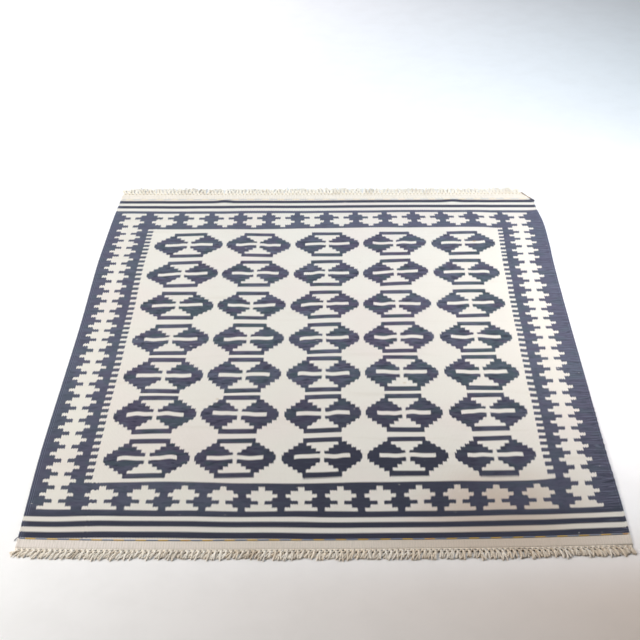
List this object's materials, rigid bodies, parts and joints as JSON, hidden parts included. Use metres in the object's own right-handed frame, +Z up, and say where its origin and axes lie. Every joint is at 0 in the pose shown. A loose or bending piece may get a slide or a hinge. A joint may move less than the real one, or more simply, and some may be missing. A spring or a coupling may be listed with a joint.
{
  "type": "rolakan rug",
  "caption": "Flat-woven wool rug in blue and off-white with stepped medallions, stepped borders, end stripes and a knotted warp fringe at both ends.",
  "frame": {"origin": "on the floor, below the middle of the rug's bounding box", "axes": "+X across the rug, +Y along the warps to the end with the longer fringe, +Z up"},
  "size_m": [1.6334, 2.1354, 0.006],
  "materials": {
    "wool_weave": "matte wool flatweave, blue and off-white",
    "warp_yarn": "matte natural plied yarn"
  },
  "bodies": {
    "root": {"woven_ground": "wool_weave", "fringe_near": "warp_yarn", "fringe_far": "warp_yarn"}
  },
  "joints": []
}
